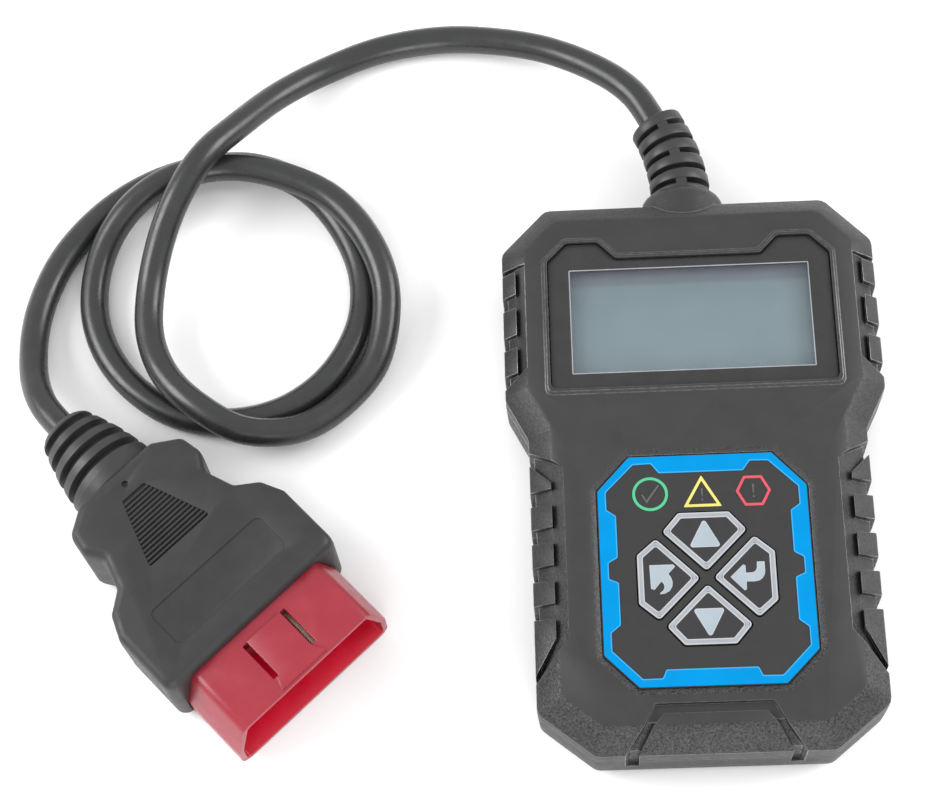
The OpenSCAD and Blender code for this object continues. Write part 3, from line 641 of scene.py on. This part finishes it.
TRIANGLE = [(-3.25, 6.35), (3.25, 6.35), (0, 12.45)]
BACK_ARROW = [
    (-11.2, -1.95), (-10.5, -2.2), (-9.06, -0.5), (-8.6, -1.1), (-8.5, -1.7), (-8.75, -2.35),
    (-9.5, -2.95), (-9.35, -3.15), (-8.4, -3.0), (-7.5, -2.5), (-6.95, -1.6), (-6.85, -0.7),
    (-7.1, 0.25), (-7.6, 1.05), (-6.2, 2.5), (-6.6, 2.95), (-11.3, 2.95),
]
ENTER_ARROW = [
    (4.6, -0.08), (7.25, -2.95), (7.68, -2.7), (7.72, -1.1), (9.35, -1.15), (10.3, -0.95),
    (10.95, -0.46), (11.35, 0.2), (11.5, 0.95), (11.5, 2.95), (9.98, 2.95), (9.9, 1.6),
    (9.6, 1.05), (9.1, 0.75), (7.7, 0.72), (7.7, 2.2), (7.25, 2.45),
]
KEY_HALF = [(0, 1.3), (8.5, 9.8), (5.1, 13.75)]
KEY_OUTLINE = mirrored(KEY_HALF)
KEY_TOP = 19.75
PRINT_BASE = KEY_TOP - 0.06


def build_key(name, body, degrees, icon):
    """The key's cap, a grey printed band round it with painted highlight on its edges, and its
    symbol.
    """
    centre = (0, KEYPAD_Y)

    def placed(poly):
        return spun(poly, degrees, centre)

    def ring(d, r):
        return placed(rounded(inset(KEY_OUTLINE, d), r, 5))

    # How far the outline is moved in, and the height
    levels = [(0, 17.3), (0, KEY_TOP - 0.12), (0.03, KEY_TOP - 0.05), (0.08, KEY_TOP - 0.01),
              (0.16, KEY_TOP)]
    points, faces = loft_data([[(p[0], p[1], z) for p in ring(d, 0.85)] for d, z in levels])
    skirt_points, skirt_faces = plate_data([ring(-0.8, 1.2)], 16.6, 17.4, len(points))
    cap = make(name + "_cap", points + skirt_points, faces + skirt_faces, "key", body)
    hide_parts(name)

    def band(suffix, d0, d1, rise, material):
        piece = plate(name + suffix, [[ring(d0, 0.8), ring(d1, 0.5)]], PRINT_BASE, KEY_TOP + rise,
                      material, body)

    # Painted highlight: the band's two light edges, with the printed band between them
    band("_edge_highlight_outer", 0.08, 0.38, 0.05, "grey_edge_highlight")
    band("_line_middle", 0.37, 0.97, 0.035, "grey_band")
    band("_edge_highlight_inner", 0.96, 1.22, 0.05, "grey_edge_highlight")
    if icon == "triangle":
        outer = placed(rounded(TRIANGLE, 0.5, 5))
        inner = placed(rounded(inset(TRIANGLE, 0.22), 0.4, 5))
    else:
        shape = [(x, y + KEYPAD_Y) for x, y in (BACK_ARROW if icon == "back" else ENTER_ARROW)]
        outer = rounded(shape, 0.1, 3)
        inner = rounded(inset(shape, 0.16), 0.08, 3)
    # Painted highlight: a light rim round the printed symbol
    edge = plate(name + "_symbol_edge_highlight", [[outer]], PRINT_BASE, KEY_TOP + 0.04, "grey_edge_highlight", body)
    face = plate(name + "_symbol", [[inner]], PRINT_BASE, KEY_TOP + 0.055, "grey_print", body)


build_blue_frame()
build_status_marks()
build_key("key_up", "up_key", 0, "triangle")
build_key("key_back", "back_key", 90, "back")
build_key("key_down", "down_key", 180, "triangle")
build_key("key_enter", "enter_key", 270, "enter")


# ---- Boot at the reader ----

BEND_R, BEND, BOOT_START, EXIT_Z = 44.0, 26.0, 62.8, 9.8
BOOT_LENGTH = BEND_R * math.radians(BEND)
COLLAR_FACE = 1.15
BOOT_R, BOOT_TAPER = 6.6, 0.7
RIBS, RIB_EDGE, RIB_LAP = 6, 0.24, 0.28
RIB_PITCH = BOOT_LENGTH / (RIBS * 2 - 1)
WEB_BASE, NECK_R = 3.6, 4.85


def bent(s, r, turn):
    """A point at the distance s along the boot's bent line, r from it, at the angle turn."""
    a = s / BEND_R
    centre = Vector((-BEND_R * (1 - math.cos(a)), BOOT_START + BEND_R * math.sin(a), EXIT_Z))
    side = Vector((math.cos(a), math.sin(a), 0))
    return centre + side * (r * math.cos(turn)) + Vector((0, 0, r * math.sin(turn)))


def turned_data(profile, at=0, around=48, place=bent):
    """profile: [distance along, radius] pairs, closed with flat ends."""
    rings = [[place(s, r, 2 * math.pi * k / around) for k in range(around)] for s, r in profile]
    return loft_data(rings, at)


def boot_radius(s):
    """The boot's outer radius half a rib past the distance s."""
    return BOOT_R - BOOT_TAPER * (s + RIB_PITCH / 2) / BOOT_LENGTH


def build_boot():
    points, faces = [], []

    def join(data):
        p, f = data
        points.extend(p)
        faces.extend(f)

    join(turned_data([(0, 4.45), (BOOT_LENGTH * 0.5, 4.3), (BOOT_LENGTH - 0.2, 4.1)], len(points)))
    for k in range(RIBS):
        s1 = (k * 2 + 1) * RIB_PITCH + RIB_LAP
        s0 = k * 2 * RIB_PITCH - RIB_LAP if k else COLLAR_FACE
        r, e = boot_radius(s0), RIB_EDGE
        profile = [(s0, r - e), (s0 + 0.07, r - 0.08), (s0 + e, r), (s1 - e, r - 0.03),
                   (s1 - 0.07, r - 0.11), (s1, r - e)]
        join(turned_data(profile, len(points)))
    # Webs that bridge the slots: above and below in one, at the sides in the next
    for k in range(RIBS - 1):
        s0 = (k * 2 + 1) * RIB_PITCH - 0.2
        s1 = s0 + RIB_PITCH + 0.5
        r = boot_radius(s0) - 0.22
        for side in (0, 1):
            base = (90 if k % 2 == 0 else 0) + side * 180
            half = math.degrees(1.15 / r)
            turns = [math.radians(base + half * t) for t in (-1, -0.5, 0, 0.5, 1)]
            rings = []
            for s in (s0, (s0 + s1) / 2, s1):
                top = [bent(s, r, t) for t in turns]
                rings.append(top + [bent(s, WEB_BASE, t) for t in reversed(turns)])
            join(loft_data(rings, len(points)))
    # Neck inside the collar
    join(turned_data([(-1.4, NECK_R), (COLLAR_FACE + 0.3, NECK_R)], len(points)))
    boot = make("outlet_boot", points, faces, "boot", "reader", 40)
    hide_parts("cable_boot")
    return boot


outlet_boot = build_boot()


# ---- Plug ----

PLUG_TURN = 42.9
PLUG_MOUTH = Vector((-79.9, -41.2, 0))
PLUG_FRAME = Matrix.Translation(PLUG_MOUTH) @ Matrix.Rotation(math.radians(PLUG_TURN), 4, "Z")
AXIS_Z = 11.0
HALF_PLUG = [(22.4, 14.7), (22.4, 30.4), (20.2, 35.4), (15.8, 38.7), (13.7, 45.2), (16, 49),
             (15.2, 54), (9.6, 57.8)]
GRIP_START, GRIP_END = 37, 51.5
GRIP_RIBS, GRIP_RIB = 15, 0.56


def in_plug(points):
    return [tuple(PLUG_FRAME @ Vector(p)) for p in points]


def build_plug_body():
    outline = mirrored(HALF_PLUG)
    # How far the outline is moved in, and the height
    levels = [(2.4, 0), (1.5, 0.35), (0.8, 0.95), (0.25, 2.0), (0.02, 3.2), (0, 8), (0, 17.4),
              (0.08, 19.4), (0.22, 20.5), (0.5, 21.2), (0.95, 21.65), (1.5, 21.9), (2.1, 22)]
    rings = []
    for d, z in levels:
        rings.append([(p.x, p.y, z) for p in rounded(inset(outline, d), 2.2, 8)])
    points, faces = loft_data(rings)
    body = make("plug_housing", in_plug(points), faces, "plug_housing", None)

    def carve(data):
        cut(body, make("tool", in_plug(data[0]), data[1], "plug_housing", None))

    def sink(outline, floor):
        carve(plate_data([outline], floor, 24))

    patch = [(-8, GRIP_START), (8, GRIP_START), (2.9, GRIP_END), (-2.9, GRIP_END)]
    sink(rounded(box(14.6, 20.4, 29.8), 1.5, 6), 21.62)
    sink(rounded(patch, 0.4, 3), 21.3)
    sink(circle((0, 54), 0.7, 20), 21.2)
    # Mouth that the shroud stands in
    section = shroud_section(-0.1)
    carve(loft_data([[(x, y, z) for x, z in section] for y in (13.0, 18.2)]))
    soften(body, 0.14, 32, 34)
    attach(body, "reader")
    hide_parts("plug_body")

    points, faces = [], []
    for k in range(GRIP_RIBS):
        y = GRIP_START + 0.4 + k * (GRIP_END - GRIP_START - 0.6) / GRIP_RIBS
        half = 7.9 - (y - GRIP_START) * 0.35
        section = [(0, 21.2), (1, 21.2), (1, 21.72), (0.75, 21.9), (0.25, 21.9), (0, 21.72)]
        sections = [[(x, y + t * GRIP_RIB, z) for t, z in section] for x in (-half, half)]
        p, f = loft_data(sections, len(points))
        points += p
        faces += f
    grip = make("plug_grip_ribs", in_plug(points), faces, "plug_housing")
    return body, grip


def shroud_section(d):
    outline = [(-20, 1.5), (20, 1.5), (20, 9), (16.8, 19.5), (-16.8, 19.5), (-20, 9)]
    return [(p.x, p.y) for p in rounded(inset(outline, d), max(2.2 - d, 0.9), 7)]


PLUG_BOOT_START, PLUG_BOOT_END = 56.6, 76.6
PLUG_BOOT_RADII = [(56.6, 9.3), (57.8, 9.8), (60.2, 9.95), (62.2, 9.8), (64.6, 9.4), (68.2, 8.7),
                   (71.6, 7.7), (74.6, 6.8), (76, 6.2), (76.6, 5.6)]
GROOVES = [62.9, 66.8, 70.7, 74.4]
GROOVE_HALF, GROOVE_DEPTH, GROOVE_WALL = 0.95, 1.9, 0.4


def plug_boot_radius(s):
    for (a, ra), (b, rb) in zip(PLUG_BOOT_RADII, PLUG_BOOT_RADII[1:]):
        if s <= b:
            t = (s - a) / (b - a)
            return ra + (rb - ra) * t
    return PLUG_BOOT_RADII[-1][1]


def build_plug_boot():
    def place(s, r, turn):
        return PLUG_FRAME @ Vector((r * math.cos(turn), s, AXIS_Z + r * math.sin(turn)))

    profile, s = [], PLUG_BOOT_START
    while s < PLUG_BOOT_END + 0.01:
        r = plug_boot_radius(min(s, PLUG_BOOT_END)) - 0.03
        for g in GROOVES:
            t = abs(s - g)
            if t < GROOVE_HALF:
                depth = GROOVE_DEPTH - (g - GROOVES[0]) * 0.03
                r -= depth * min(1.0, max(0.0, (GROOVE_HALF - t) / GROOVE_WALL)) ** 0.7
        profile.append((s, r))
        s += 0.1
    points, faces = turned_data(profile, 0, 56, place)
    boot = make("plug_relief", points, faces, "boot", "reader", 50)
    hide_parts("plug_boot")
    return boot


plug_housing, plug_grip = build_plug_body()
plug_relief = build_plug_boot()
plug_mouth = refined("plug_mouth", "plug_shroud", "shroud", 0.2)
plug_block = refined("plug_block", "plug_core", "shroud", 0.12)


# ---- Floor and light ----

def build_stage():
    mesh = bpy.data.meshes.new("floor")
    mesh.from_pydata([(x, y, 0) for x, y in box(3, -3, 3)], [], [(0, 1, 2, 3)])
    n = Nodes("pale_floor")
    n.link(n.ramp(n.noise(9, 2), 0.90, 0.93), n.shader.inputs["Base Color"])
    n.link(n.ramp(n.noise(30, 2), 0.75, 0.85), n.shader.inputs["Roughness"])
    n.shader.inputs["Specular IOR Level"].default_value = 0.1
    mesh.materials.append(n.mat)
    floor = bpy.data.objects.new("floor", mesh)
    scene.collection.objects.link(floor)

    world = bpy.data.worlds.new("studio")
    world.use_nodes = True
    world.node_tree.nodes["Background"].inputs["Color"].default_value = (1, 1, 1, 1)
    world.node_tree.nodes["Background"].inputs["Strength"].default_value = 1.0
    scene.world = world

    def area(name, place, size, power):
        data = bpy.data.lights.new(name, "AREA")
        data.shape, data.size, data.energy = "SQUARE", size, power
        lamp = bpy.data.objects.new(name, data)
        lamp.location = place
        towards = Vector((-0.05, 0.02, 0)) - lamp.location
        lamp.rotation_euler = towards.to_track_quat("-Z", "Y").to_euler()
        scene.collection.objects.link(lamp)

    area("softbox_left", (-0.80, 0.05, 0.55), 0.5, 6.5)
    area("softbox_right", (0.75, 0.20, 0.50), 0.5, 5.5)
    area("softbox_front", (0.05, -0.85, 0.42), 0.5, 3.4)


build_stage()
scene.view_settings.view_transform = "Standard"
